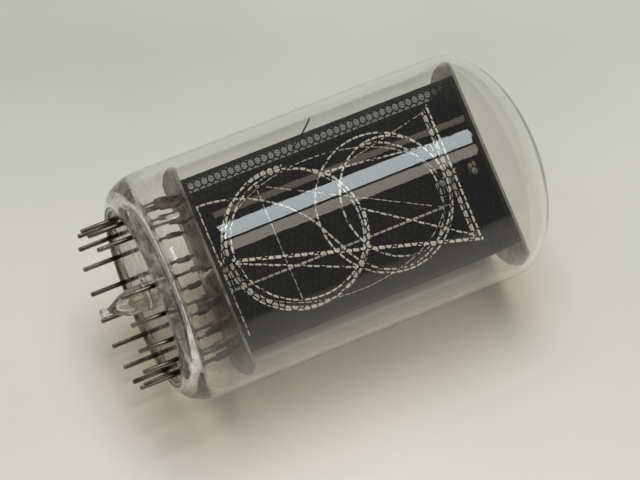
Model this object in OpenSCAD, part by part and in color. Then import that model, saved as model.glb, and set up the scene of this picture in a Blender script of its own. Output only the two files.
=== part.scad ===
// Cold-cathode numeral indicator tube, side view, with ten stacked wire-like numerals.
// +Z runs along the glass towards the dome, -Y is the viewing front, +X is the reader's right.
// z = 0 is the seating plane, the lowest face of the glass base; the pins point down from it.

/* [Glass bulb] */
// Outside diameter of the bulb
bulb_d = 50; // [40:0.5:62]
// Height of the bulb from its seating plane to the top of the dome
bulb_h = 89; // [72:0.5:110]
// Thickness of the glass wall
bulb_wall = 1.2; // [0.8:0.1:2]
// Height of the domed top
dome_h = 13; // [9:0.5:18]
// Height of the rounded shoulder at the base
shoulder_h = 8.5; // [6:0.5:12]
// How far the shoulder draws the glass in, on the radius
shoulder_in = 5; // [3:0.25:7]

/* [Stem and pins] */
// Thickness of the pressed-glass stem disc
stem_t = 3.2; // [2.4:0.1:5]
// Depth of the recess in the underside of the stem disc
stem_recess = 1; // [0.4:0.1:1.6]
// Number of equally spaced pin places
pin_places = 18; // [12:1:20]
// The pin place left empty, as a key, counted from the reader's right towards the front
key_place = 5; // [0:1:11]
// Diameter of a pin
pin_d = 1; // [0.8:0.05:1.3]
// Diameter of the thinner wire that carries on from a pin through the glass
seal_d = 0.6; // [0.4:0.05:0.7]
// Length of a pin below the seating plane
pin_reach = 7.3; // [5:0.1:10]
// Distance from the stem disc's rim to the pin circle
pin_edge = 2.7; // [2:0.1:4]
// Length of the sealed exhaust tip below the seating plane
tip_reach = 9.6; // [6:0.1:12]
// Diameter of the exhaust tip at its root
tip_d = 5.8; // [4:0.1:8]

/* [Electrode cage] */
// Clear height between the stem disc and the bottom mica, for the leads
lead_space = 11; // [9:0.5:16]
// How far the top mica stands inside the dome
mica_into_dome = 1.2; // [0:0.1:2]
// Thickness of a mica disc
mica_t = 0.6; // [0.3:0.05:1]
// Radial gap between a mica disc and the glass
mica_gap = 0.7; // [0.4:0.1:1.5]
// Distance from the axis to the open front of the cage
cage_front = 9.1; // [8.8:0.1:11]
// Distance from the axis to the back of the cage
cage_back = 12.8; // [12:0.1:14]
// Gap between the cage's back corners and the rim of the mica
corner_gap = 0.6; // [0.3:0.1:2]
// Thickness of the cage's sheet metal
sheet_t = 0.3; // [0.2:0.05:0.5]
// Width of the flange that carries the bottom eyelet
flange_w = 3.4; // [3.2:0.1:5]
// Width of the frame around the front mesh
frame_w = 0.9; // [0.5:0.1:2]
// Thickness of the anode mesh
mesh_t = 0.2; // [0.1:0.05:0.3]
// Distance between the mesh openings
mesh_pitch = 3.1; // [2.6:0.1:5]
// Width of the metal between two mesh openings
mesh_bar = 0.5; // [0.3:0.05:0.9]

/* [Numerals] */
// Gap between the cage's mesh and a numeral, at each side
numeral_side_gap = 3.6; // [2.5:0.1:6]
// Gap below the numerals, from the bottom mica
numeral_below = 4.4; // [4:0.1:8]
// Gap above the numerals, to the cage's top wall
numeral_above = 7.3; // [4:0.1:9]
// Distance of the first numeral behind the open front
numeral_inset = 2.1; // [1.9:0.1:4]
// Distance from one numeral to the next
numeral_pitch = 1.65; // [1.2:0.05:1.7]
// Thickness of a numeral's sheet
numeral_t = 0.25; // [0.15:0.05:0.5]
// Width of a numeral's strokes
stroke_w = 0.35; // [0.25:0.05:0.8]
// Width of the finest strokes, as on the one and the four
fine_stroke_w = 0.14; // [0.1:0.02:0.5]
// Diameter of the two rods that the numerals hang on
rod_d = 0.8; // [0.6:0.1:1.2]

/* [Fittings] */
// Diameter of an inner lead wire
lead_d = 0.6; // [0.4:0.05:0.8]
// Outside diameter of the insulating sleeve on a lead
sleeve_d = 1.4; // [1.1:0.1:1.8]
// Outside diameter of an eyelet's tube
eyelet_d = 2.4; // [1.8:0.1:2.8]
// Diameter of an eyelet's flange
eyelet_flange_d = 3.6; // [3.2:0.1:4]
// Diameter of the mercury capsule
capsule_d = 2.4; // [1.6:0.1:3]
// Length of the mercury capsule
capsule_h = 6.5; // [4:0.5:8]

/* [Hidden] */
$fn = 48;

// Glass
bulb_r = bulb_d / 2;
stem_r = bulb_r - shoulder_in;
dome_z = bulb_h - dome_h;
rim_w = 1;
glass_above_pin = 1;
arc_step = 9;

// Pins
pin_circle_r = stem_r - pin_edge;
pin_step = 360 / pin_places;
PIN_PLACES = [for (k = [0 : pin_places - 1]) if (k != key_place) k];
pin_angles = [for (k = PIN_PLACES) (k + 0.5) * pin_step];
pin_tip_h = 0.3;

// Cage levels and widths
mica_r = bulb_r - bulb_wall - mica_gap;
bottom_mica_z = stem_t + lead_space;
cage_z = bottom_mica_z + mica_t;
top_mica_z = dome_z + mica_into_dome;
cage_top = top_mica_z;
cage_h = cage_top - cage_z;
cage_half_w = sqrt(pow(mica_r, 2) - pow(cage_back, 2)) - corner_gap;
mesh_y = cage_front - sheet_t;
notch_w = 0.9;
notch_step = 24;

// Numerals
half_w = cage_half_w - numeral_side_gap;
numeral_z = cage_z + numeral_below;
numeral_h = cage_top - numeral_above - numeral_z;
numeral_y0 = -cage_front + numeral_inset;
lower_bowl_h = 0.6 * numeral_h;
upper_bowl_h = 0.58 * numeral_h;
side_stem_x = 0.35 * half_w;
seven_foot_x = 0.03 * half_w;
nine_foot_x = 0.04 * half_w;
STACK = [7, 8, 3, 5, 9, 6, 1, 0, 4, 2];
lug_rise = 1.2;
lug_w = 0.45;
lug_r = rod_d / 2 + lug_w;
lug_gap = 0.02;
spacer_d = rod_d + 0.6;
tail_w = 0.5;
slot_gap = 0.3;
tail_below_mica = 0.9;
rod_ahead = 1;
cap_t = 0.6;

// Leads and fittings
lead_above_mica = 1.2;
lead_below_mica = 0.5;
weld_d = 1.4 * lead_d;
sleeve_gap = 0.1;
eyelet_drop = 1.2;
eyelet_wall = 0.4;
eyelet_lip = 0.3;
top_eyelet_y = 1.2;
bottom_eyelet_y = cage_back - flange_w / 2;
capsule_at = [6, -3];
whisker_d = 0.35;
whisker_from = [0.44, 0.39];
whisker_to = [0.9, 0.485];

NUMERALS = [for (n = [0 : 9]) str("numeral_", n)];
PINS = [for (i = [1 : len(PIN_PLACES)]) str("pin_", i < 10 ? "0" : "", i)];

// ---------- Shared shapes ----------

// Points of an ellipse's arc about c, from angle a0 to angle a1
function arc(c, rx, ry, a0, a1, steps = 64) =
    [for (i = [0 : steps]) let (a = a0 + (a1 - a0) * i / steps) c + [rx * cos(a), ry * sin(a)]];

// A flat strip of the stroke's width along an elliptical arc
module arc_stroke(c, rx, ry, a0, a1, w = stroke_w) {
    outer = arc(c, rx + w / 2, ry + w / 2, a0, a1);
    inner = arc(c, rx - w / 2, ry - w / 2, a1, a0);
    polygon(concat(outer, inner));
}

// A closed elliptical ring of the stroke's width
module ring_stroke(c, rx, ry, w = stroke_w) {
    difference() {
        polygon([for (i = [1 : 72]) c + [(rx + w / 2) * cos(i * 5), (ry + w / 2) * sin(i * 5)]]);
        polygon([for (i = [1 : 72]) c + [(rx - w / 2) * cos(i * 5), (ry - w / 2) * sin(i * 5)]]);
    }
}

// A straight flat strip from p to q, square at its ends
module line_stroke(p, q, w = stroke_w) {
    d = q - p;
    translate(p) rotate(atan2(d.y, d.x)) translate([-w / 2, -w / 2]) square([norm(d) + w, w]);
}

// Places its children, which stand along +Z from the origin, along the line from p to q
module along(p, q) {
    d = q - p;
    translate(p) rotate([0, acos(d.z / norm(d)), atan2(d.y, d.x)]) children();
}

// A round wire from p to q
module wire(p, q, d) {
    along(p, q) cylinder(h = norm(q - p), d = d);
}

// A flat part drawn in X and Z, with its front face at y
module upright(y, t) {
    translate([0, y + t, 0]) rotate([90, 0, 0]) linear_extrude(t) children();
}

// ---------- Glass ----------

// Radius-and-height points of the bulb's outside, from the seating plane to the top of the dome
function bulb_outside() = concat(
    [for (a = [0 : arc_step : 90])
        [stem_r + shoulder_in * sin(a), shoulder_h * (1 - cos(a))]],
    [for (a = [0 : arc_step : 90]) [bulb_r * cos(a), dome_z + dome_h * sin(a)]]);

// The same for the inside, from the top of the dome down to the seal with the stem disc
function bulb_inside() = let (
        r = bulb_r - bulb_wall,
        lift = shoulder_h + bulb_wall - stem_t)
    concat(
        [for (a = [90 : -arc_step : 0]) [r * cos(a), dome_z + (dome_h - bulb_wall) * sin(a)]],
        [for (a = [90 : -arc_step : 0]) [stem_r + (r - stem_r) * sin(a), stem_t + lift * (1 - cos(a))]]);

module bulb() {
    color("lightcyan", 0.3)
        rotate_extrude($fn = 96) polygon(concat(bulb_outside(), bulb_inside()));
}

// The stem disc: a raised rim, a bore for the exhaust tube and a small glass cone round each pin
module stem_disc() {
    cone_h = glass_above_pin;
    color("paleturquoise", 0.5)
        difference() {
            union() {
                cylinder(h = stem_t, r = stem_r, $fn = 96);
                for (a = pin_angles)
                    rotate([0, 0, -a]) translate([pin_circle_r, 0, stem_t])
                        cylinder(h = cone_h, d1 = 3 * pin_d, d2 = 1.4 * pin_d);
            }
            translate([0, 0, -1]) cylinder(h = stem_recess + 1, r = stem_r - rim_w, $fn = 96);
            translate([0, 0, -1]) cylinder(h = stem_t + 2, d = tip_d / 2);
            for (a = pin_angles)
                rotate([0, 0, -a]) translate([pin_circle_r, 0, -1])
                    cylinder(h = stem_t + cone_h + 2, d = seal_d);
        }
}

// The exhaust tube, drawn down and closed with a bead
module exhaust_tip() {
    r = tip_d / 2;
    bead_r = 0.17 * tip_d;
    bore_end = 0.8 * stem_recess - 0.55 * tip_reach;
    color("lightcyan", 0.6) {
        difference() {
            rotate_extrude() polygon([
                [0, stem_recess], [r, stem_recess], [0.97 * r, -0.15 * tip_reach],
                [0.88 * r, -0.38 * tip_reach], [0.68 * r, -0.52 * tip_reach], [0.45 * r, -0.66 * tip_reach],
                [0.24 * r, -0.8 * tip_reach], [0.3 * r, -0.86 * tip_reach], [bead_r, -0.92 * tip_reach],
                [0.75 * bead_r, -0.98 * tip_reach], [0, -tip_reach]]);
            translate([0, 0, bore_end]) cylinder(h = 2 - bore_end, d1 = 0.3 * tip_d, d2 = tip_d / 2);
        }
    }
}

// ---------- Pins ----------

// One pin: a rounded tip, the plug-in length, and the thinner wire sealed in the glass
module pin(i) {
    color("silver")
        rotate([0, 0, -pin_angles[i]]) translate([pin_circle_r, 0, 0]) {
            translate([0, 0, -pin_reach]) cylinder(h = pin_tip_h, d1 = 0.6 * pin_d, d2 = pin_d);
            translate([0, 0, pin_tip_h - pin_reach])
                cylinder(h = pin_reach - pin_tip_h + stem_recess, d = pin_d);
            translate([0, 0, stem_recess])
                cylinder(h = stem_t + glass_above_pin - stem_recess, d = seal_d);
        }
}

// ---------- Numerals ----------

// A numeral's strokes, with x = 0 on its centre line and y = 0 at its foot
module strokes(n) {
    a = half_w;
    h = numeral_h;
    lo = lower_bowl_h / 2;
    up = upper_bowl_h / 2;
    if (n == 0) ring_stroke([0, h / 2], a, h / 2, fine_stroke_w);
    if (n == 1) line_stroke([side_stem_x, 0], [side_stem_x, h], fine_stroke_w);
    if (n == 2) two();
    if (n == 3) {
        arc_stroke([0, lo], a, lo, 90, -190);
        line_stroke([0, 2 * lo], [0.92 * a, h]);
        line_stroke([-a, h], [0.92 * a, h]);
    }
    if (n == 4) {
        line_stroke([side_stem_x, 0], [side_stem_x, 0.98 * h], fine_stroke_w);
        line_stroke([-0.93 * a, 0.26 * h], [0.83 * a, 0.26 * h], fine_stroke_w);
        line_stroke([-0.93 * a, 0.26 * h], [side_stem_x, 0.98 * h], fine_stroke_w);
    }
    if (n == 5) {
        arc_stroke([0, lo], a, lo, 130, -190);
        line_stroke([cos(130) * a, lo * (1 + sin(130))], [-0.97 * a, h], fine_stroke_w);
        line_stroke([-0.97 * a, h], [0.92 * a, h]);
    }
    if (n == 6) {
        ring_stroke([0, lo], a, lo);
        line_stroke([-0.73 * a, lo * 1.68], [-0.53 * a, h]);
    }
    if (n == 7) {
        line_stroke([-a, h], [a, h], 1.2 * stroke_w);
        line_stroke([a, h], [seven_foot_x, 0], 1.8 * stroke_w);
    }
    if (n == 8) {
        ring_stroke([0, 0.3 * h], 0.91 * a, 0.284 * h);
        ring_stroke([0, 0.74 * h], 0.86 * a, 0.23 * h);
    }
    if (n == 9) {
        ring_stroke([0, h - up], a, up);
        line_stroke([nine_foot_x, 0.03 * h], [0.73 * a, h - 1.68 * up]);
    }
}

// The two: a bowl on top, a quarter arc falling to the foot's left end, and the foot
module two() {
    a = half_w;
    foot_a = 1.8 * a;
    bowl_c = [0, 0.75 * numeral_h];
    foot_c = [-0.96 * a + foot_a, 0];
    foot_h = 0.53 * numeral_h;
    line_stroke([-0.96 * a, 0], [a, 0]);
    arc_stroke(foot_c, foot_a, foot_h, 180, 122);
    arc_stroke(bowl_c, 0.93 * a, 0.25 * numeral_h, 180, -62);
    line_stroke(foot_c + [foot_a * cos(122), foot_h * sin(122)],
        bowl_c + [0.93 * a * cos(-62), 0.25 * numeral_h * sin(-62)]);
}

// The small stubs that join a numeral's strokes to its two lugs on the centre line
module lug_stubs(n) {
    h = numeral_h;
    low = n == 9 ? 0.03 * h : n == 8 ? 0.02 * h : 0;
    high = n == 4 ? 0.98 * h : n == 8 ? 0.97 * h : h;
    side = n == 6 ? -0.53 * half_w : n == 1 || n == 4 ? side_stem_x : 0;
    foot = n == 1 || n == 4 ? side_stem_x : n == 7 ? seven_foot_x : n == 9 ? nine_foot_x : 0;
    line_stroke([0, -lug_rise], [0, low], fine_stroke_w);
    line_stroke([0, high], [0, h + lug_rise], fine_stroke_w);
    if (side != 0) line_stroke([side, high], [0, high], fine_stroke_w);
    if (foot != 0) line_stroke([foot, low], [0, low], fine_stroke_w);
}

// One numeral: strokes, a lug at head and foot for the rods, and a tail down through the mica
module numeral(n) {
    at = search(n, STACK)[0];
    tail = numeral_below + mica_t + tail_below_mica;
    color("gainsboro")
        translate([0, 0, numeral_z]) upright(numeral_y0 + at * numeral_pitch, numeral_t)
            difference() {
                union() {
                    strokes(n);
                    lug_stubs(n);
                    for (y = [-lug_rise, numeral_h + lug_rise]) translate([0, y]) circle(r = lug_r);
                    translate([-tail_w / 2, -tail]) square([tail_w, tail - lug_rise]);
                }
                for (y = [-lug_rise, numeral_h + lug_rise])
                    translate([0, y]) circle(d = rod_d + 2 * lug_gap);
            }
}

// ---------- Rods, spacers and caps ----------

bottom_rod_z = numeral_z - lug_rise;
top_rod_z = numeral_z + numeral_h + lug_rise;
rod_y = numeral_y0 - rod_ahead;

// A rod from just ahead of the numerals to the outside of the tray's back
module rod(z) {
    color("dimgray") wire([0, rod_y, z], [0, cage_back, z], rod_d);
}

// The insulating spacers between the numerals, and the long one behind the last
module spacers(z) {
    color("ivory")
        for (i = [0 : len(STACK) - 1]) {
            from = numeral_y0 + i * numeral_pitch + numeral_t;
            to = i < len(STACK) - 1 ? from + numeral_pitch - numeral_t : cage_back - sheet_t;
            difference() {
                wire([0, from, z], [0, to, z], spacer_d);
                wire([0, from - 1, z], [0, to + 1, z], rod_d);
            }
        }
}

// The pressed-on cap that keeps the numerals on the rod
module rod_cap(z) {
    color("dimgray")
        difference() {
            wire([0, numeral_y0 - cap_t, z], [0, numeral_y0, z], 2 * lug_r);
            wire([0, numeral_y0 - cap_t - 1, z], [0, numeral_y0 + 1, z], rod_d);
        }
}

// ---------- Cage ----------

// The black tray: a back, a top wall and a narrow bottom flange, folded from one sheet
module shield_tray() {
    w = 2 * (cage_half_w - mesh_t);
    depth = mesh_y + cage_back;
    color([0.07, 0.07, 0.07])
        difference() {
            union() {
                translate([-w / 2, cage_back - sheet_t, cage_z]) cube([w, sheet_t, cage_h]);
                translate([-w / 2, -mesh_y, cage_top - sheet_t]) cube([w, depth, sheet_t]);
                translate([-w / 2, cage_back - flange_w, cage_z]) cube([w, flange_w, sheet_t]);
            }
            for (z = [bottom_rod_z, top_rod_z])
                wire([0, cage_back - 1, z], [0, cage_back + 1, z], rod_d);
            translate([0, top_eyelet_y, cage_top - 1]) cylinder(h = 2, d = eyelet_d);
            translate([0, bottom_eyelet_y, cage_z - 1]) cylinder(h = 2, d = eyelet_d);
        }
}

// The narrow frame that clamps the front mesh round its edge
module front_frame() {
    w = 2 * cage_half_w;
    color([0.12, 0.12, 0.12])
        upright(-cage_front, sheet_t)
            difference() {
                translate([-w / 2, cage_z]) square([w, cage_h]);
                translate([-w / 2 + frame_w, cage_z + frame_w])
                    square([w - 2 * frame_w, cage_h - 2 * frame_w]);
            }
}

// A sheet of w by h with a margin and rows of diamond openings
module mesh_sheet(w, h) {
    margin = frame_w;
    hole = (mesh_pitch - mesh_bar) / sqrt(2);
    nx = floor((w - 2 * margin) / mesh_pitch);
    ny = floor((h - 2 * margin) / mesh_pitch);
    difference() {
        square([w, h]);
        for (i = [0 : nx - 1], j = [0 : ny - 1])
            translate([w / 2 + (i - (nx - 1) / 2) * mesh_pitch, h / 2 + (j - (ny - 1) / 2) * mesh_pitch])
                rotate(45) square(hole, center = true);
    }
}

// The fine anode mesh across the front
module front_mesh() {
    w = 2 * (cage_half_w - mesh_t);
    color([0.2, 0.2, 0.2])
        translate([-w / 2, 0, cage_z])
            upright(-mesh_y, mesh_t) mesh_sheet(w, cage_h - sheet_t);
}

// A mesh side wall; side is -1 for the reader's left and 1 for the right
module side_mesh(side) {
    x = side < 0 ? -cage_half_w : cage_half_w - mesh_t;
    color([0.2, 0.2, 0.2])
        translate([x, -mesh_y, cage_z])
            rotate([90, 0, 90]) linear_extrude(mesh_t) mesh_sheet(mesh_y + cage_back, cage_h);
}

// A mica disc cut off flush with the cage's front, with notches round its rim
module mica(z) {
    color("rosybrown", 0.5)
        translate([0, 0, z]) linear_extrude(mica_t)
            difference() {
                circle(r = mica_r, $fn = 96);
                translate([-bulb_r, -bulb_r - cage_front]) square([bulb_d, bulb_r]);
                for (a = [-notch_step / 2 : notch_step : 180 + notch_step / 2])
                    rotate(a) translate([mica_r, 0]) rotate(45) square(notch_w, center = true);
                children();
            }
}

module top_mica() {
    mica(top_mica_z) translate([0, top_eyelet_y]) circle(d = eyelet_d);
}

// The bottom mica also lets through the numerals' tails and the leads
module bottom_mica() {
    slot_from = numeral_y0 - slot_gap;
    slot_to = numeral_y0 + (len(STACK) - 1) * numeral_pitch + numeral_t + slot_gap;
    mica(bottom_mica_z) {
        translate([0, bottom_eyelet_y]) circle(d = eyelet_d);
        translate([-tail_w / 2 - slot_gap, slot_from])
            square([tail_w + 2 * slot_gap, slot_to - slot_from]);
        for (a = pin_angles) translate(lead_foot(a)) circle(d = lead_d);
    }
}

// An eyelet that rivets sheet to mica; z is the face under its flange, t what it grips
module eyelet(y, z, t) {
    color("khaki")
        translate([0, y, z])
            difference() {
                union() {
                    translate([0, 0, -eyelet_drop]) cylinder(h = eyelet_drop + t, d = eyelet_d);
                    translate([0, 0, -eyelet_lip]) cylinder(h = eyelet_lip, d = eyelet_flange_d);
                    translate([0, 0, t]) cylinder(h = eyelet_lip, d = eyelet_flange_d);
                }
                translate([0, 0, -eyelet_drop - 1])
                    cylinder(h = eyelet_drop + t + 3, d = eyelet_d - 2 * eyelet_wall);
            }
}

// ---------- Leads and small fittings ----------

// Where a lead passes the bottom mica: just inside its pin, but clear of the numerals' tails
// at the front and of the tray's flange and back at the rear
function lead_foot(a) = let (
        r = pin_circle_r - lead_d / 2,
        front = numeral_y0 - slot_gap - lead_d,
        back = cage_back + lead_d,
        y = max(-r * sin(a), front))
    [r * cos(a), y > cage_back - flange_w - lead_d ? max(y, back) : y];

// The height at which a lead leaves its pin's line
lead_bend_z = stem_t + glass_above_pin + 0.3 * lead_space;

function lead_low(a) = [pin_circle_r * cos(a), -pin_circle_r * sin(a), stem_t + glass_above_pin];
function lead_bend(a) = [pin_circle_r * cos(a), -pin_circle_r * sin(a), lead_bend_z];
function lead_mica(a) = [lead_foot(a).x, lead_foot(a).y, bottom_mica_z - lead_below_mica];

module inner_leads() {
    color("slategray")
        for (a = pin_angles) {
            wire(lead_low(a), lead_bend(a), lead_d);
            translate(lead_bend(a)) sphere(d = weld_d);
            wire(lead_bend(a), lead_mica(a), lead_d);
            translate(lead_mica(a)) sphere(d = weld_d);
            translate(lead_mica(a)) cylinder(h = lead_below_mica + mica_t + lead_above_mica, d = lead_d);
        }
}

// A ceramic sleeve on the slanting run of each lead
module lead_sleeves() {
    color("rosybrown")
        for (a = pin_angles)
            let (run = lead_mica(a) - lead_bend(a))
                along(lead_bend(a), lead_mica(a)) translate([0, 0, 0.12 * norm(run)])
                    difference() {
                        cylinder(h = 0.74 * norm(run), d = sleeve_d);
                        translate([0, 0, -1])
                            cylinder(h = norm(run) + 2, d = lead_d + 2 * sleeve_gap);
                    }
}

// The steel capsule that gives off the mercury, welded under the bottom mica by a short strap
module mercury_capsule() {
    strap_t = 0.4;
    top = bottom_mica_z - strap_t;
    color("gray")
        translate([capsule_at.x, capsule_at.y, 0]) {
            translate([0, 0, top - capsule_h]) cylinder(h = capsule_h, d = capsule_d);
            translate([-capsule_d, -capsule_d / 2, top]) cube([2 * capsule_d, capsule_d, strap_t]);
        }
}

// The springy wire that runs from the front frame out to the glass
module contact_whisker() {
    y = -cage_front - whisker_d / 2;
    from = [-whisker_from.x * 2 * cage_half_w, y, cage_z + whisker_from.y * cage_h];
    to = [-whisker_to.x * mica_r, y, cage_z + whisker_to.y * cage_h];
    color("dimgray") wire(from, to, whisker_d);
}

// ---------- Assembly ----------

bulb();
stem_disc();
exhaust_tip();
for (i = [0 : len(PINS) - 1]) pin(i);
for (n = [0 : 9]) numeral(n);
shield_tray();
front_frame();
front_mesh();
side_mesh(-1);  // left_mesh
side_mesh(1);  // right_mesh
top_mica();
bottom_mica();
rod(top_rod_z);  // top_rod
rod(bottom_rod_z);  // bottom_rod
spacers(top_rod_z);  // top_spacers
spacers(bottom_rod_z);  // bottom_spacers
rod_cap(top_rod_z);  // top_rod_cap
rod_cap(bottom_rod_z);  // bottom_rod_cap
eyelet(top_eyelet_y, cage_top - sheet_t, sheet_t + mica_t);  // top_eyelet
eyelet(bottom_eyelet_y, bottom_mica_z, mica_t + sheet_t);  // bottom_eyelet
inner_leads();
lead_sleeves();
mercury_capsule();
contact_whisker();
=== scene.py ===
import math

import bmesh
import bpy
from mathutils import Matrix, Quaternion, Vector


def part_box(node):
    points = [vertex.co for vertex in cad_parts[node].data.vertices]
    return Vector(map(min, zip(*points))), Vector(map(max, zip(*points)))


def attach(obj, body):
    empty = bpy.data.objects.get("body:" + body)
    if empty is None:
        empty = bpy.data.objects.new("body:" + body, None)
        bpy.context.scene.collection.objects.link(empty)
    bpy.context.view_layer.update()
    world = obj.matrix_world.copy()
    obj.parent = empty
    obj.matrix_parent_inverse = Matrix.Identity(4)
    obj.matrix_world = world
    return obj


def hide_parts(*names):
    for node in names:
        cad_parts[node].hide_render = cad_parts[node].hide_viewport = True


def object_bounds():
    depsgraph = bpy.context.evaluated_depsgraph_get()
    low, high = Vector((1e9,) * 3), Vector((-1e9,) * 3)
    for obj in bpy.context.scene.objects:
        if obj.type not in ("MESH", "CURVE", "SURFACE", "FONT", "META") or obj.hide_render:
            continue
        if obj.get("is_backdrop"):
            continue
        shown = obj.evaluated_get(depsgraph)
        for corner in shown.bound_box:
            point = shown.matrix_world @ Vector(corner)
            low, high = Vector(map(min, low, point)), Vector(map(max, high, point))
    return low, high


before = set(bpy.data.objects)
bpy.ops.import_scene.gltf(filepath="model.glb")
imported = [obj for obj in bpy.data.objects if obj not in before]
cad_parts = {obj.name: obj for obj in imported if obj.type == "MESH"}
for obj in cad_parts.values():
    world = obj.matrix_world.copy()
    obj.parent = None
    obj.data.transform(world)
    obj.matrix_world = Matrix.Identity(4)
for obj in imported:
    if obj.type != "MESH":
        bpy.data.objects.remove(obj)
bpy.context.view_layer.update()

# ---------- Stem disc ----------
# A disc of pressed glass that closes the foot of the bulb. It is moulded round the pins in one heat,
# so the glass creeps a little way up each pin on both faces, and its rim is fused to the bulb.
mm = 0.001


def arc(centre, radii, start, end, steps):
    """Points of an elliptical arc in the plane of radius and height, with angles in degrees."""
    turns = [math.radians(start + (end - start) * i / steps) for i in range(steps + 1)]
    return [(centre[0] + radii[0] * math.cos(a), centre[1] + radii[1] * math.sin(a)) for a in turns]


def softened(points, times=2):
    """The outline with its corners cut again and again, which leaves it smooth."""
    for _ in range(times):
        cut = [points[0]]
        for (r0, z0), (r1, z1) in zip(points, points[1:]):
            cut += [(0.75 * r0 + 0.25 * r1, 0.75 * z0 + 0.25 * z1),
                    (0.25 * r0 + 0.75 * r1, 0.25 * z0 + 0.75 * z1)]
        points = cut + [points[-1]]
    return points


def turned(outline, steps):
    """A shape turned about Z from (radius, height) points in millimetres."""
    made = bmesh.new()
    points = [made.verts.new((r * mm, 0, z * mm)) for r, z in outline]
    lines = [made.edges.new(pair) for pair in zip(points, points[1:])]
    bmesh.ops.spin(made, geom=points + lines, cent=(0, 0, 0), axis=(0, 0, 1), angle=math.tau,
                   steps=steps, use_merge=True)
    bmesh.ops.remove_doubles(made, verts=made.verts, dist=0.001 * mm)
    bmesh.ops.recalc_face_normals(made, faces=made.faces)
    return made


def piece(name, shape, material, slot, *stands_for, crease=40):
    """Makes the finished object from a bmesh, smooth but for edges sharper than crease degrees."""
    mesh = bpy.data.meshes.new(name)
    shape.to_mesh(mesh)
    shape.free()
    mesh.polygons.foreach_set("use_smooth", [True] * len(mesh.polygons))
    mesh.set_sharp_from_angle(angle=math.radians(crease))
    mesh.materials.append(material)
    made = bpy.data.objects.new(name, mesh)
    bpy.context.scene.collection.objects.link(made)
    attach(made, "root")
    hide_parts(*stands_for)
    return made


def add(tree, kind, inputs, **settings):
    """Adds a shader node; an input's value is a plain one or the output that drives it."""
    made = tree.nodes.new("ShaderNode" + kind)
    for name, value in settings.items():
        setattr(made, name, value)
    for name, value in inputs.items():
        if isinstance(value, bpy.types.NodeSocket):
            tree.links.new(value, made.inputs[name])
        else:
            made.inputs[name].default_value = value
    return made


def linear(code):
    """An sRGB hex colour as the linear colour that a shader takes."""
    parts = [int(code[i:i + 2], 16) / 255 for i in (0, 2, 4)]
    return (*[c / 12.92 if c < 0.04045 else ((c + 0.055) / 1.055) ** 2.4 for c in parts], 1)


def started(name):
    """A new material, its tree, and the object's own coordinates."""
    made = bpy.data.materials.new(name)
    made.use_nodes = True
    made.node_tree.nodes.clear()
    where = add(made.node_tree, "TexCoord", {}).outputs["Object"]
    return made, made.node_tree, where


def clear_glass(name, tint, shade, ripple_mm, ripple, milk):
    """Soda glass: clear, rippled where a flame has worked it near the foot, and clouded there by milk.

    The tint is the glass's own colour, and the shade is the colour of lamp light that has passed it.
    """
    made, tree, where = started(name)
    flame_low, flame_high = 5 * mm, 14 * mm
    blown_ripple = 0.035
    height = add(tree, "SeparateXYZ", {"Vector": where}).outputs["Z"]
    worked = add(tree, "MapRange", {"Value": height, "From Min": flame_low, "From Max": flame_high,
                                    "To Min": ripple, "To Max": blown_ripple})
    waves = add(tree, "TexNoise", {"Vector": where, "Scale": 1 / (ripple_mm * mm), "Detail": 2.0})
    bump = add(tree, "Bump", {"Height": waves.outputs["Fac"], "Strength": worked.outputs[0],
                              "Distance": 0.3 * mm})
    glass = add(tree, "BsdfPrincipled", {"Base Color": linear(tint), "Roughness": 0.0, "IOR": 1.5,
                                         "Transmission Weight": 1.0, "Normal": bump.outputs[0]})
    cloud = add(tree, "BsdfPrincipled", {"Base Color": linear("B8B2A6"), "Roughness": 0.25,
                                         "Normal": bump.outputs[0]})
    patch_mm = 2.2
    patches = add(tree, "TexNoise", {"Vector": where, "Scale": 1 / (patch_mm * mm), "Detail": 3.0})
    cover = add(tree, "MapRange", {"Value": patches.outputs["Fac"], "From Min": 0.42, "From Max": 0.7,
                                   "To Max": milk})
    low_down = add(tree, "MapRange", {"Value": height, "From Min": 4 * mm, "From Max": 10 * mm,
                                      "To Min": 1.0, "To Max": 0.0})
    cover = add(tree, "Math", {0: cover.outputs[0], 1: low_down.outputs[0]}, operation="MULTIPLY")
    body = add(tree, "MixShader", {0: cover.outputs[0], 1: glass.outputs[0], 2: cloud.outputs[0]})
    through = add(tree, "BsdfTransparent", {"Color": linear(shade)})
    lamps = add(tree, "LightPath", {})
    both = add(tree, "MixShader", {0: lamps.outputs["Is Shadow Ray"], 1: body.outputs[0],
                                   2: through.outputs[0]})
    add(tree, "OutputMaterial", {"Surface": both.outputs[0]})
    return made


disc_r = 19.95
disc_top = 3.2
disc_edge = 0.6
rim_edge = 0.4
recess_z = 1.0
bore_r = 1.45
collar_rings = [15.2 + 0.35 * i for i in range(11)]
# How far the glass creeps along a pin, and how wide that cone is, on the upper and the lower face.
upper_collar_h, upper_collar_w = 0.95, 0.95
lower_collar_h, lower_collar_w = 0.45, 0.8
pin_names = sorted(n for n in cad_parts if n.startswith("pin_"))
pin_spots = [sum(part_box(n), Vector()) / 2 for n in pin_names]

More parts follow.
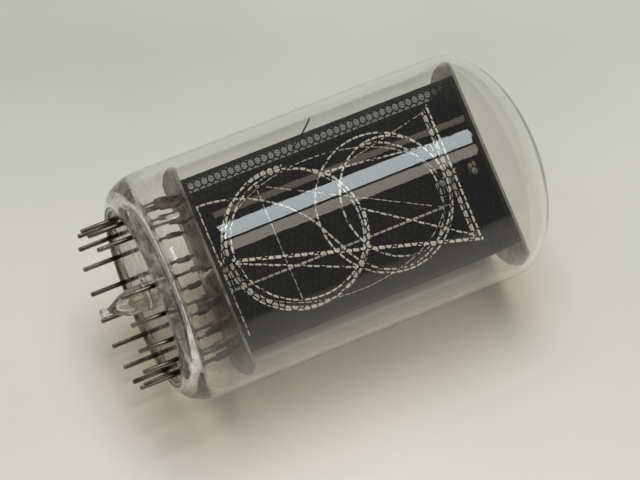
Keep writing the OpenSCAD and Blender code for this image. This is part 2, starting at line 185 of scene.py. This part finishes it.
disc = turned(
    [(bore_r, recess_z), (8, recess_z)] + [(r, recess_z) for r in collar_rings[:-2]]
    + arc((18.4, 0.5), (0.6, 0.5), 90, 0, 4)
    + arc((19.4, 0.35), (0.4, 0.35), 180, 270, 4)
    + arc((disc_r - rim_edge, rim_edge), (rim_edge, rim_edge), 270, 360, 4)
    + arc((disc_r - disc_edge, disc_top - disc_edge), (disc_edge, disc_edge), 0, 90, 5)
    + [(r, disc_top) for r in reversed(collar_rings)]
    + [(8, disc_top), (2.6, disc_top)] + arc((2.6, disc_top + 0.5), (1.15, 0.5), 270, 180, 4)
    + [(bore_r, recess_z)], 288)
for point in disc.verts:
    near = min((Vector(point.co.xy) - spot.xy).length for spot in pin_spots) / mm
    if point.co.z > (disc_top - 0.01) * mm and point.co.xy.length > 10 * mm:
        point.co.z += upper_collar_h * mm * math.exp(-((near / upper_collar_w) ** 2))
    elif abs(point.co.z - recess_z * mm) < 0.01 * mm:
        point.co.z -= lower_collar_h * mm * math.exp(-((near / lower_collar_w) ** 2))
pressed_glass = clear_glass("pressed_soda_glass", "DFDACE", "E6E2D8", 3.0, 0.22, 0.45)
piece("stem_disc_glass", disc, pressed_glass, "stem_glass", "stem_disc")

# ---------- Exhaust tip ----------
# The stump of the glass tube that the air was drawn out through. It is softened in a flame, pulled
# down to a neck and pinched off, which leaves a small bead.
tip_joint = (3.7, recess_z - 0.04)
tip_wall = softened([tip_joint, (3.05, 0.9), (2.9, 0.2), (2.9, -1.4), (2.75, -3.4), (2.1, -5.0),
                     (1.3, -6.4), (0.66, -7.5), (0.6, -8.2), (1.05, -8.7), (1.0, -9.4), (0.5, -9.6),
                     (0, -9.6)])
tip_bore = softened([(0, -5.8), (0.5, -5.5), (1.0, -4.4), (1.5, -3.0), (1.5, -1.0), (bore_r, tip_joint[1])])
tip = turned(tip_bore + tip_wall + [tip_bore[0]], 64)
blown_glass = clear_glass("blown_soda_glass", "FBFAF7", "F3F0EA", 5.0, 0.1, 0.3)
piece("exhaust_tip_glass", tip, blown_glass, "bulb_glass", "exhaust_tip")

# ---------- Pins ----------
# Seventeen stiff pins of nickel-iron wire, cut, tumbled to round their ends and dulled by handling.
# The heat of the seal has left them dark brown for the last 3 mm before the glass.
pin_r = 0.5
neck_r = 0.42
tip_round = 0.28
neck_low, neck_high = 1.1, 1.5


def pin_metal():
    """Nickel iron with a thin grey bloom: soft highlights, brown oxide next to the glass."""
    made, tree, where = started("dulled_nickel_iron")
    burnt_from, burnt_to = -3.0 * mm, -0.4 * mm
    blotch_mm = 0.9
    height = add(tree, "SeparateXYZ", {"Vector": where}).outputs["Z"]
    burnt = add(tree, "MapRange", {"Value": height, "From Min": burnt_from, "From Max": burnt_to})
    drawn = add(tree, "Mapping", {"Vector": where, "Scale": (1, 1, 0.2)})
    blotch = add(tree, "TexNoise", {"Vector": drawn.outputs[0], "Scale": 1 / (blotch_mm * mm),
                                    "Detail": 4.0})
    edge = add(tree, "Math", {0: burnt.outputs[0], 1: blotch.outputs["Fac"]}, operation="MULTIPLY")
    edge = add(tree, "Math", {0: edge.outputs[0], 1: 1.7}, operation="MULTIPLY", use_clamp=True)
    bare = add(tree, "ValToRGB", {"Fac": blotch.outputs["Fac"]})
    bare.color_ramp.elements[0].color = linear("5F594F")
    bare.color_ramp.elements[1].color = linear("ABA597")
    bare.color_ramp.elements[0].position = 0.35
    bare.color_ramp.elements[1].position = 0.7
    colour = add(tree, "Mix", {"Factor": edge.outputs[0], 6: bare.outputs[0], 7: linear("2A221C")},
                 data_type="RGBA")
    rough = add(tree, "MapRange", {"Value": blotch.outputs["Fac"], "To Min": 0.16, "To Max": 0.3})
    metal = add(tree, "BsdfPrincipled", {"Base Color": colour.outputs[2], "Metallic": 1.0,
                                         "Roughness": rough.outputs[0]})
    add(tree, "OutputMaterial", {"Surface": metal.outputs[0]})
    return made


dulled_wire = pin_metal()
for name, spot in zip(pin_names, pin_spots):
    low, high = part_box(name)
    foot, top = low.z / mm, high.z / mm
    end = arc((pin_r - tip_round, foot + tip_round), (tip_round, tip_round), 270, 360, 5)
    pin = turned([(0, foot)] + end + [(pin_r, neck_low), (neck_r, neck_high), (neck_r, top), (0, top)], 28)
    bmesh.ops.translate(pin, verts=pin.verts, vec=(spot.x, spot.y, 0))
    piece("contact_" + name, pin, dulled_wire, "pin_metal", name)

# ---------- Inner leads ----------
# Soft nickel wires welded to the pins inside the glass and bent by hand up to their holes in the
# lower mica, so no two are quite alike.
lead_r = 0.3
weld_z = 3.9
straight_z = 7.6
# Leads end in front of the numerals, or behind the tray's back wall if they come up near it.
numeral_gap, back_gap = 0.9, 0.6
near_back = 4
mica_gap, past_mica = 0.5, 2.3
tray_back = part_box("shield_tray")[1].y / mm
mica_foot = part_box("bottom_mica")[0].z / mm
first_numeral = min(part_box(f"numeral_{n}")[0].y for n in range(10)) / mm


def lead_path(spot):
    """The points of one lead, in millimetres, from the top of its pin to above the mica."""
    x, y = spot.x / mm, spot.y / mm
    share = (math.hypot(x, y) - lead_r) / math.hypot(x, y)
    end_x, end_y = x * share, max(y * share, first_numeral - numeral_gap)
    if end_y > tray_back - near_back:
        end_y = max(end_y, tray_back + back_gap)
    under = mica_foot - mica_gap
    lean = 0.3 * math.sin(7 * x + 3 * y)
    return [Vector(point) for point in (
        (x, y, weld_z), (x, y, straight_z - 1.4), (x, y, straight_z),
        (x + 0.4 * lean, y * 0.99, straight_z + 1),
        ((x + end_x) / 2 + lean, (y + end_y) / 2, (straight_z + under) / 2 + 0.4),
        (end_x + 0.3 * lean, end_y, under - 1.2), (end_x, end_y, under),
        (end_x, end_y, under + past_mica))]


def swept(made, points, radius, start=0.0, end=1.0, sides=2):
    """Adds to a bmesh a round wire of that radius, in millimetres, along a smooth path."""
    line = bpy.data.curves.new("path", "CURVE")
    line.dimensions = "3D"
    line.bevel_depth = radius * mm
    line.bevel_resolution = sides
    line.use_fill_caps = True
    line.bevel_factor_start, line.bevel_factor_end = start, end
    run = line.splines.new("NURBS")
    run.points.add(len(points) - 1)
    for point, place in zip(run.points, points):
        point.co = (*(place * mm), 1)
    run.order_u = 3
    run.use_endpoint_u = True
    run.resolution_u = 5
    holder = bpy.data.objects.new("path", line)
    tube = bpy.data.meshes.new_from_object(holder)
    made.from_mesh(tube)
    bpy.data.objects.remove(holder)
    bpy.data.curves.remove(line)
    bpy.data.meshes.remove(tube)


def plain_metal(name, light, dark, low_rough, high_rough, grain_mm, metallic=1.0):
    """A metal with a mottled surface: two close colours and a finish that goes from satin to dull."""
    made, tree, where = started(name)
    mottle = add(tree, "TexNoise", {"Vector": where, "Scale": 1 / (grain_mm * mm), "Detail": 5.0})
    shade = add(tree, "MapRange", {"Value": mottle.outputs["Fac"], "From Min": 0.35, "From Max": 0.68})
    colour = add(tree, "Mix", {"Factor": shade.outputs[0], 6: linear(dark), 7: linear(light)},
                 data_type="RGBA")
    rough = add(tree, "MapRange", {"Value": mottle.outputs["Fac"], "From Min": 0.3, "From Max": 0.7,
                                   "To Min": high_rough, "To Max": low_rough})
    bump = add(tree, "Bump", {"Height": mottle.outputs["Fac"], "Strength": 0.3, "Distance": 0.03 * mm})
    metal = add(tree, "BsdfPrincipled", {"Base Color": colour.outputs[2], "Metallic": metallic,
                                         "Roughness": rough.outputs[0], "Normal": bump.outputs[0]})
    add(tree, "OutputMaterial", {"Surface": metal.outputs[0]})
    return made


leads = bmesh.new()
for spot in pin_spots:
    swept(leads, lead_path(spot), lead_r)
# Nickel wire that has been through the sealing flame is grey-brown, and only half bright.
soft_nickel = plain_metal("soft_nickel_wire", "70685D", "2E2721", 0.25, 0.5, 1.2)
piece("inner_lead_wires", leads, soft_nickel, "nickel", "inner_leads")

# ---------- Lead sleeves ----------
# Short tubes of fired clay threaded on the leads so that they can't touch where they lean in. They
# are unglazed and have taken a brown stain from the first heating of the tube.
sleeve_r = 0.6
# The stretch of a lead that its sleeve covers, as shares of the lead's length.
sleeve_from, sleeve_to = 0.3, 0.84


def stained_clay(name, light, dark):
    """Unglazed ceramic: matt, chalky and stained in patches."""
    made, tree, where = started(name)
    stain = add(tree, "TexNoise", {"Vector": where, "Scale": 1 / (1.6 * mm), "Detail": 6.0,
                                   "Roughness": 0.65})
    colour = add(tree, "ValToRGB", {"Fac": stain.outputs["Fac"]})
    colour.color_ramp.elements[0].position = 0.38
    colour.color_ramp.elements[1].position = 0.62
    colour.color_ramp.elements[0].color = linear(dark)
    colour.color_ramp.elements[1].color = linear(light)
    bump = add(tree, "Bump", {"Height": stain.outputs["Fac"], "Strength": 0.5, "Distance": 0.05 * mm})
    clay = add(tree, "BsdfPrincipled", {"Base Color": colour.outputs[0], "Roughness": 0.72,
                                        "Normal": bump.outputs[0]})
    add(tree, "OutputMaterial", {"Surface": clay.outputs[0]})
    return made


sleeves = bmesh.new()
for spot in pin_spots:
    swept(sleeves, lead_path(spot), sleeve_r, sleeve_from, sleeve_to, 3)
piece("lead_sleeve_tubes", sleeves, stained_clay("stained_clay_sleeve", "5E4F45", "2A201A"),
      "brown_ceramic", "lead_sleeves")

# ---------- Micas ----------
# Two punched discs of split mica hold the cage and centre it in the bulb. They are sprayed with a
# thin dusty coating that stops leakage, so they look grey-brown and only partly clear.


def coated_mica():
    """Mica under a thin sprayed coat: flaky patches, half clear, with a soft pearly gloss."""
    made, tree, where = started("sprayed_mica")
    flakes = add(tree, "TexVoronoi", {"Vector": where, "Scale": 1 / (2.4 * mm)})
    dust = add(tree, "TexNoise", {"Vector": where, "Scale": 1 / (3.5 * mm), "Detail": 3.0})
    both = add(tree, "Mix", {"Factor": 0.2, 2: dust.outputs["Fac"], 3: flakes.outputs["Distance"]})
    colour = add(tree, "ValToRGB", {"Fac": both.outputs[0]})
    colour.color_ramp.elements[0].position = 0.3
    colour.color_ramp.elements[1].position = 0.62
    colour.color_ramp.elements[0].color = linear("3A3029")
    colour.color_ramp.elements[1].color = linear("7E7268")
    cover = add(tree, "MapRange", {"Value": both.outputs[0], "From Min": 0.3, "From Max": 0.6,
                                   "To Min": 0.35, "To Max": 0.75})
    sheet = add(tree, "BsdfPrincipled", {"Base Color": colour.outputs[0], "Roughness": 0.38,
                                         "IOR": 1.58, "Alpha": cover.outputs[0]})
    add(tree, "OutputMaterial", {"Surface": sheet.outputs[0]})
    return made


def dress(material, *names):
    """Gives CAD nodes whose shape is right their finish."""
    for name in names:
        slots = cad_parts[name].data.materials
        slots.clear()
        slots.append(material)


dress(coated_mica(), "bottom_mica", "top_mica")

# ---------- Shield tray and front frame ----------
# The tray is one sheet of nickel folded into a back, a top wall and a bottom flange; the frame that
# clamps the front mesh is punched from the same sheet. Both are fired black with a carbon coat.


def carbon_black(name, coat_tone, bare, sheen):
    """Carbon coat on sheet nickel: almost black, with a faint brown sheen and scuffs."""
    made, tree, where = started(name)
    grain = add(tree, "TexNoise", {"Vector": where, "Scale": 1 / (0.35 * mm), "Detail": 3.0})
    smear = add(tree, "TexNoise", {"Vector": where, "Scale": 1 / (7.0 * mm), "Detail": 4.0})
    shade = add(tree, "MapRange", {"Value": smear.outputs["Fac"], "From Min": 0.4, "From Max": 0.7})
    colour = add(tree, "Mix", {"Factor": shade.outputs[0], 6: linear(coat_tone), 7: linear(bare)},
                 data_type="RGBA")
    rough = add(tree, "MapRange", {"Value": smear.outputs["Fac"], "From Min": 0.35, "From Max": 0.7,
                                   "To Min": 0.62, "To Max": 0.4})
    bump = add(tree, "Bump", {"Height": grain.outputs["Fac"], "Strength": 0.4, "Distance": 0.03 * mm})
    coat = add(tree, "BsdfPrincipled", {"Base Color": colour.outputs[2], "Roughness": rough.outputs[0],
                                        "Specular IOR Level": sheen, "Normal": bump.outputs[0]})
    add(tree, "OutputMaterial", {"Surface": coat.outputs[0]})
    return made


dress(carbon_black("carbon_coated_nickel", "0A0A09", "1F1913", 0.12), "shield_tray", "front_frame")

# ---------- Rods, caps and spacers ----------
# Two oxidised steel rods carry the stack of numerals. Fired clay rings keep the numerals apart, and
# a cap pressed on each rod's front end holds the stack together.
oxidised_steel = plain_metal("oxidised_steel_rod", "3A3530", "1B1816", 0.35, 0.55, 1.0)
dress(oxidised_steel, "top_rod", "bottom_rod", "top_rod_cap", "bottom_rod_cap")
dress(stained_clay("dark_fired_clay", "38312B", "1A1613"), "top_spacers", "bottom_spacers")

# ---------- Numerals ----------
# Ten numerals etched from thin stainless sheet, each with an eye at head and foot for the rods and
# a tail that goes down through the mica. Etching leaves them pale and silky: they scatter the light
# more than they mirror it, so their metallic share is low.
etched_steel = plain_metal("etched_stainless_sheet", "FFFFFA", "E4DFD2", 0.4, 0.6, 0.8, 0.15)
dress(etched_steel, *[f"numeral_{n}" for n in range(10)])

# ---------- Cage meshes ----------
# Etched honeycomb sheet closes the cage's front and both sides. It is fired black too, so it hardly
# shows against the dark tray, but it cuts the bright numerals into dashes.
sheet_mm = 0.05
front_cell, front_bar = 1.77, 0.34
side_cell, side_bar = 0.9, 0.13
# The honeycomb is a regular one, pressed to this share of its height along the tube.
squash = 0.85
# A cell that the sheet's edge cuts down to less than this share of a whole one stays solid.
least_share = 0.35


def honeycomb(width, height, cell_mm, bar_mm):
    """A flat honeycomb sheet, width along X and height along Y, centred on the origin, in mm."""
    made = bmesh.new()
    height /= squash
    column, radius = cell_mm * math.sqrt(3) / 2, cell_mm / math.sqrt(3)
    columns, rows = int(width / 2 / column) + 2, int(height / 2 / cell_mm) + 2
    for i in range(-columns, columns + 1):
        for j in range(-rows, rows + 1):
            spot = ((column * i) * mm, cell_mm * (j + 0.5 * (i % 2)) * mm, 0)
            bmesh.ops.create_circle(made, cap_ends=True, segments=6, radius=radius * mm,
                                    matrix=Matrix.Translation(spot) @ Matrix.Rotation(math.pi / 6, 4, "Z"))
    bmesh.ops.remove_doubles(made, verts=made.verts, dist=0.02 * mm)
    for direction in ((1, 0, 0), (-1, 0, 0), (0, 1, 0), (0, -1, 0)):
        reach = width if direction[0] else height
        bmesh.ops.bisect_plane(made, geom=made.verts[:] + made.edges[:] + made.faces[:],
                               plane_co=Vector(direction) * reach / 2 * mm, plane_no=direction,
                               clear_outer=True)
    whole = cell_mm ** 2 * math.sqrt(3) / 2 * mm * mm
    cells = [f for f in made.faces if f.calc_area() > least_share * whole]
    bmesh.ops.inset_individual(made, faces=cells, thickness=bar_mm / 2 * mm, use_even_offset=True)
    bmesh.ops.delete(made, geom=cells, context="FACES")
    bmesh.ops.scale(made, verts=made.verts, vec=(1, squash, 1))
    bmesh.ops.recalc_face_normals(made, faces=made.faces)
    bmesh.ops.solidify(made, geom=made.faces[:], thickness=sheet_mm * mm)
    bmesh.ops.recalc_face_normals(made, faces=made.faces)
    return made


blackened_mesh = carbon_black("carbon_coated_mesh", "020202", "060504", 0.04)
for name in ("front_mesh", "left_mesh", "right_mesh"):
    low, high = (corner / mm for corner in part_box(name))
    across = high.x - low.x if name == "front_mesh" else high.y - low.y
    cell, bar = (front_cell, front_bar) if name == "front_mesh" else (side_cell, side_bar)
    panel = honeycomb(across, high.z - low.z, cell, bar)
    for axis in "X" if name == "front_mesh" else "XZ":
        quarter = Matrix.Rotation(math.pi / 2, 3, axis)
        bmesh.ops.rotate(panel, verts=panel.verts, cent=(0, 0, 0), matrix=quarter)
    bmesh.ops.translate(panel, verts=panel.verts, vec=(low + high) / 2 * mm)
    piece(name + "_honeycomb", panel, blackened_mesh, "blackened_mesh", name, crease=20)

# ---------- Eyelets ----------
# Rolled nickel eyelets rivet the tray to the micas, one in the top wall and one in the bottom
# flange. The rolled lip is polished by the tool and catches the light.
eyelet_bore, eyelet_r = 0.8, 1.2
lip_h, lip_w = 0.32, 0.3
lower_lip_z = 1.2


def rolled_lip(lip_top):
    """The half round edge of a lip, from its lower side to its top."""
    return arc((eyelet_r + lip_w, lip_top - lip_h / 2), (lip_w, lip_h / 2), 270, 450, 8)


bright_nickel = plain_metal("rolled_nickel", "FFFAEC", "D8CFBB", 0.25, 0.4, 0.7, 0.2)
for name in ("top_eyelet", "bottom_eyelet"):
    low, high = (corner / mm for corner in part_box(name))
    middle = (low + high) / 2
    foot, top = low.z, high.z
    lower_lip = foot + lower_lip_z
    eyelet = turned(
        [(eyelet_bore, foot)] + arc((1.0, foot + 0.1), (0.2, 0.1), 180, 360, 4)
        + [(eyelet_r, lower_lip - lip_h - 0.15)] + rolled_lip(lower_lip) + [(eyelet_r, lower_lip)]
        + [(eyelet_r, top - lip_h)] + rolled_lip(top)
        + [(1.15, top), (eyelet_bore, top - 0.25), (eyelet_bore, foot)], 40)
    bmesh.ops.translate(eyelet, verts=eyelet.verts, vec=(middle.x * mm, middle.y * mm, 0))
    piece(name + "_rolled", eyelet, bright_nickel, "nickel", name)

# ---------- Mercury capsule ----------
# A drawn nickel capsule on a strap under the lower mica gives off a trace of mercury when the tube
# is first heated. Its ends are spun over.
can_r = 1.2
strap_h = 0.4
strap_sheet = 0.34
low, high = (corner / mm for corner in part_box("mercury_capsule"))
middle = (low + high) / 2
can_top = high.z - strap_h
can_side = softened([(0, low.z), (0.9, low.z), (can_r, low.z + 0.25), (can_r, can_top - 0.3),
                     (1.0, can_top), (0, can_top)], 1)
can = turned(can_side, 36)
bmesh.ops.translate(can, verts=can.verts, vec=(middle.x * mm, middle.y * mm, 0))
strap = bmesh.ops.create_cube(can, size=1)["verts"]
strap_size = ((high.x - low.x) * mm, (high.y - low.y) * mm, strap_sheet * mm)
bmesh.ops.scale(can, verts=strap, vec=strap_size)
bmesh.ops.translate(can, verts=strap, vec=(middle.x * mm, middle.y * mm, (high.z - strap_h / 2) * mm))
strap_edges = [e for e in can.edges if e.verts[0] in strap and e.verts[1] in strap]
bmesh.ops.bevel(can, geom=strap_edges, offset=0.1 * mm, segments=2, profile=0.5,
                affect="EDGES", material=-1)
piece("mercury_can", can, soft_nickel, "nickel", "mercury_capsule")

# ---------- Contact whisker ----------
# A springy steel wire, darkened by heat, is spot-welded to the front frame. It bears on the glass and
# drains off the charge that gathers there.
whisker_r = 0.17
low, high = (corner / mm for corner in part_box("contact_whisker"))
wire_y = high.y - 0.175
weld = Vector((high.x - 0.1, wire_y, low.z + 0.1))
tip_end = Vector((low.x + 0.1, wire_y, high.z - 0.1))
bow = (weld + tip_end) / 2 + Vector((0.25, 0, 0.2))
whisker = bmesh.new()
swept(whisker, [weld, bow, tip_end], whisker_r)
piece("contact_whisker_wire", whisker, oxidised_steel, "dark_steel", "contact_whisker")

# ---------- Bulb ----------
# The bulb is blown glass, a plain cylinder with a low dome. Its foot is drawn in over the stem disc
# and fused to it, which leaves the wall a little thicker at the shoulder.
bulb_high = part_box("bulb")[1]
bulb_r = bulb_high.x / mm
wall = 1.2
dome_z = 76.0
dome_h = bulb_high.z / mm - dome_z
shoulder_h, shoulder_in = 8.5, 5.0
shoulder_r = bulb_r - shoulder_in
straight_rings = (20, 40, 60)
outside = (arc((shoulder_r, shoulder_h), (shoulder_in, shoulder_h), 270, 360, 20)
           + [(bulb_r, z) for z in straight_rings]
           + arc((0, dome_z), (bulb_r, dome_h), 0, 90, 40))
inner_r = bulb_r - wall
inner_lift = shoulder_h + wall - disc_top
inside = (arc((0, dome_z), (inner_r, dome_h - wall), 90, 0, 40)
          + [(inner_r, z) for z in reversed(straight_rings)]
          + arc((shoulder_r, disc_top + inner_lift), (inner_r - shoulder_r, inner_lift), 360, 270, 20))
bulb = turned(outside + inside + [outside[0]], 192)
piece("bulb_glass_envelope", bulb, blown_glass, "bulb_glass", "bulb", crease=50)

# ---------- Paper ----------
# A large sheet of matt, faintly warm paper lies against the back of the bulb. It is seen from its
# front only, so a look from behind isn't blocked.
paper_turn = math.radians(28)
paper_normal = Vector((-math.sin(paper_turn), -math.cos(paper_turn), 0))
paper_half = 1.6
paper_gap = 0.05
paper_middle = 40


def matt_paper():
    """Uncoated paper: matt, with fine fibres and slow changes of tone, a painted light falloff, and clear
    from behind.
    """
    made, tree, where = started("uncoated_paper")
    fibre_mm, tone_mm = 1.5, 90
    fibre = add(tree, "TexNoise", {"Vector": where, "Scale": 1 / (fibre_mm * mm), "Detail": 6.0})
    tone = add(tree, "TexNoise", {"Vector": where, "Scale": 1 / (tone_mm * mm), "Detail": 2.0})
    # Painted light falloff: the paper is painted darker and greyer towards -X and up, lighter towards +X
    # and down.
    across = add(tree, "VectorMath", {0: where, 1: (-0.93, 0, 0.37)}, operation="DOT_PRODUCT")
    painted_light_falloff = add(tree, "MapRange", {"Value": across.outputs["Value"], "From Min": -45 * mm,
                                   "From Max": 65 * mm, "To Min": 0.1, "To Max": 0.95})
    shade = add(tree, "MapRange", {"Value": tone.outputs["Fac"], "From Min": 0.3, "From Max": 0.7,
                                   "To Min": -0.15, "To Max": 0.15})
    painted_falloff_and_tone = add(tree, "Math", {0: painted_light_falloff.outputs[0], 1: shade.outputs[0]}, operation="ADD",
                use_clamp=True)
    # The first colour is the paper in full light; the second is the painted shade at the dim end of the
    # falloff.
    colour = add(tree, "Mix", {"Factor": painted_falloff_and_tone.outputs[0], 6: linear("F1ECE4"), 7: linear("C6C8C0")},
                 data_type="RGBA")
    bump = add(tree, "Bump", {"Height": fibre.outputs["Fac"], "Strength": 0.15, "Distance": 0.1 * mm})
    sheet = add(tree, "BsdfPrincipled", {"Base Color": colour.outputs[2], "Roughness": 0.9,
                                         "Specular IOR Level": 0.2, "Normal": bump.outputs[0]})
    clear = add(tree, "BsdfTransparent", {})
    behind = add(tree, "NewGeometry", {}).outputs["Backfacing"]
    both = add(tree, "MixShader", {0: behind, 1: sheet.outputs[0], 2: clear.outputs[0]})
    add(tree, "OutputMaterial", {"Surface": both.outputs[0]})
    return made


flat = bmesh.new()
bmesh.ops.create_grid(flat, x_segments=1, y_segments=1, size=paper_half)
turn = paper_normal.to_track_quat("Z", "Y").to_matrix()
bmesh.ops.rotate(flat, verts=flat.verts, cent=(0, 0, 0), matrix=turn)
behind_bulb = -paper_normal * (bulb_r + paper_gap) * mm
bmesh.ops.translate(flat, verts=flat.verts, vec=behind_bulb + Vector((0, 0, paper_middle * mm)))
paper_mesh = bpy.data.meshes.new("paper")
flat.to_mesh(paper_mesh)
flat.free()
paper_mesh.materials.append(matt_paper())
paper = bpy.data.objects.new("paper", paper_mesh)
bpy.context.scene.collection.objects.link(paper)
paper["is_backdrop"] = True

# ---------- Camera ----------
# It has a long lens and looks at the tube's front from far off and a little below its base. It is
# rolled, so that the tube lies on its side with its dome to the upper right.
eye = Vector((53.9, -629.5, -106.9)) * mm
aim = Vector((2.4, 0, 39.4)) * mm
roll = math.radians(68.4)
camera_data = bpy.data.cameras.new("camera")
camera_data.lens = 174
camera_data.sensor_width = 36
camera_data.clip_start, camera_data.clip_end = 0.01, 20
camera = bpy.data.objects.new("camera", camera_data)
camera.location = eye
camera.rotation_mode = "QUATERNION"
camera.rotation_quaternion = (aim - eye).to_track_quat("-Z", "Y") @ Quaternion((0, 0, 1), roll)
bpy.context.scene.collection.objects.link(camera)
bpy.context.scene.camera = camera

# ---------- Lights ----------
# Three upright soft boxes in front and to the left, a cool one between two dim warm ones, make the
# glass's long highlight, and their gaps are the dark lines in it. Two small ones light the stem and
# the pins from below and from the left, and a large one lights the paper.
lamp_distance = 0.9


def soft_box(name, bearing, height, width, length, power, tone, glossy=True):
    """An upright lamp that faces the tube's axis; bearing goes from the front to the left, in degrees."""
    lamp_data = bpy.data.lights.new(name, "AREA")
    lamp_data.shape = "RECTANGLE"
    lamp_data.size, lamp_data.size_y = width, length
    lamp_data.energy = power
    lamp_data.color = linear(tone)[:3]
    lamp = bpy.data.objects.new(name, lamp_data)
    bearing = math.radians(bearing)
    lamp.location = (-lamp_distance * math.sin(bearing), -lamp_distance * math.cos(bearing), height)
    outward = Vector((lamp.location.x, lamp.location.y, 0)).normalized()
    side = Vector((0, 0, 1)).cross(outward)
    lamp.rotation_mode = "QUATERNION"
    lamp.rotation_quaternion = Matrix((side, Vector((0, 0, 1)), outward)).transposed().to_quaternion()
    lamp.visible_camera = False
    lamp.visible_transmission = False
    lamp.visible_glossy = glossy
    bpy.context.scene.collection.objects.link(lamp)


soft_box("warm_box_right", 10.3, 0.27, 0.16, 0.17, 0.42, "EFE6D6")
soft_box("cool_box", 24.6, 0.27, 0.22, 0.17, 1.25, "E6F2F5")
soft_box("warm_box_left", 43.0, 0.27, 0.1, 0.17, 0.12, "E8DCC8")
soft_box("low_box", 24.0, -0.3, 0.2, 0.12, 0.6, "F2F5F6")
soft_box("pin_box", 58.0, 0.07, 0.1, 0.18, 0.45, "F4F4F0")
soft_box("paper_box", 46.0, 0.165, 0.45, 0.45, 4.45, "FAFAF8", glossy=False)

# The walls of the pale room fill the shadows.
world = bpy.data.worlds.new("pale_room")
world.use_nodes = True
room = world.node_tree
room.nodes.clear()
sky = add(room, "Background", {"Color": linear("EAE8E4"), "Strength": 0.25})
add(room, "OutputWorld", {"Surface": sky.outputs[0]})
bpy.context.scene.world = world
bpy.context.scene.view_settings.view_transform = "Standard"

low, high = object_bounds()
